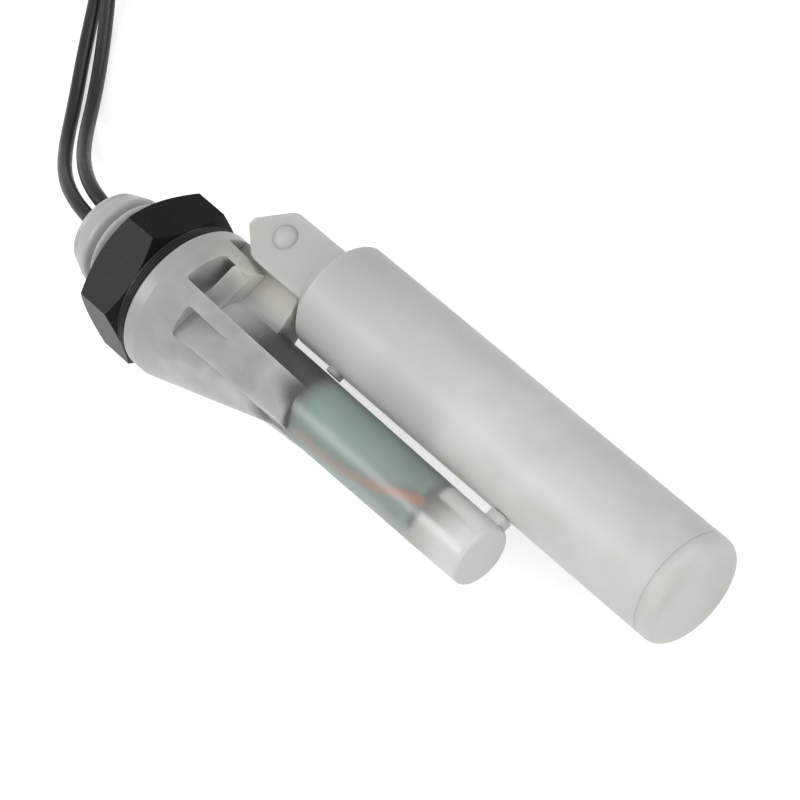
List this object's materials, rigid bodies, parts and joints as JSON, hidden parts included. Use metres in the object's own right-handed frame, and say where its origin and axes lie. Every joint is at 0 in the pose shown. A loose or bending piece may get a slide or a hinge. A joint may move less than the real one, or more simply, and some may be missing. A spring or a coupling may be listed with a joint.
{
  "type": "float level switch",
  "caption": "Side-mounted liquid level switch: a threaded stem with a hinged hollow float, a clamping nut, a sealing washer and flying leads.",
  "frame": {"origin": "centre of the collar's sealing face, on the thread's axis", "axes": "+X along the stem towards its closed tip, +Y from the stem to the float, +Z along the hinge pin"},
  "size_m": [0.1739, 0.0848, 0.0274],
  "materials": {
    "natural_pp": "translucent natural moulding, satin",
    "float_pp": "translucent natural moulding, satin",
    "black_nylon": "satin moulded",
    "black_rubber": "matt, finely grooved",
    "ferrite": "matt sintered",
    "dark_epoxy": "cast, glossy",
    "clear_epoxy": "cast, pale",
    "reed_glass": "clear drawn glass",
    "nickel_iron": "plated",
    "teal_pvc": "extruded sleeve",
    "orange_pvc": "extruded insulation",
    "brown_pvc": "shrunk sleeve",
    "tinned_copper": "tinned",
    "black_pvc": "extruded insulation, satin"
  },
  "bodies": {
    "stem": {"stem_body": "natural_pp", "sealing_washer": "black_rubber", "stem_potting": "dark_epoxy", "tip_potting": "clear_epoxy", "reed_glass": "reed_glass", "reed_blade_near": "nickel_iron", "reed_blade_far": "nickel_iron", "reed_sleeve": "teal_pvc", "return_wire_core": "tinned_copper", "return_wire_cover": "orange_pvc", "tip_joint_sleeve": "brown_pvc", "solder_joint_1": "tinned_copper", "solder_joint_2": "tinned_copper", "lead_1_core": "tinned_copper", "lead_2_core": "tinned_copper", "lead_1_tail": "black_pvc", "lead_2_tail": "black_pvc", "lead_1_wire": "black_pvc", "lead_2_wire": "black_pvc", "lead_1_coil": "black_pvc", "lead_2_coil": "black_pvc", "lead_1_stripped_end": "tinned_copper", "lead_2_stripped_end": "tinned_copper", "coil_tie": "black_nylon"},
    "nut": {"hex_nut": "black_nylon"},
    "float": {"float_shell": "float_pp", "float_end_cap": "float_pp", "float_magnet": "ferrite", "magnet_plug": "float_pp", "hinge_pin": "float_pp"}
  },
  "joints": [
    {"name": "float_hinge", "type": "hinge", "parent": "stem", "child": "float", "pos_m": [0.0087, 0.0162, 0], "axis": [0, 0, 1], "range_deg": [0, 45]},
    {"name": "nut_turn", "type": "hinge", "parent": "stem", "child": "nut", "pos_m": [-0.0058, 0, 0], "axis": [1, 0, 0], "continuous": true}
  ]
}
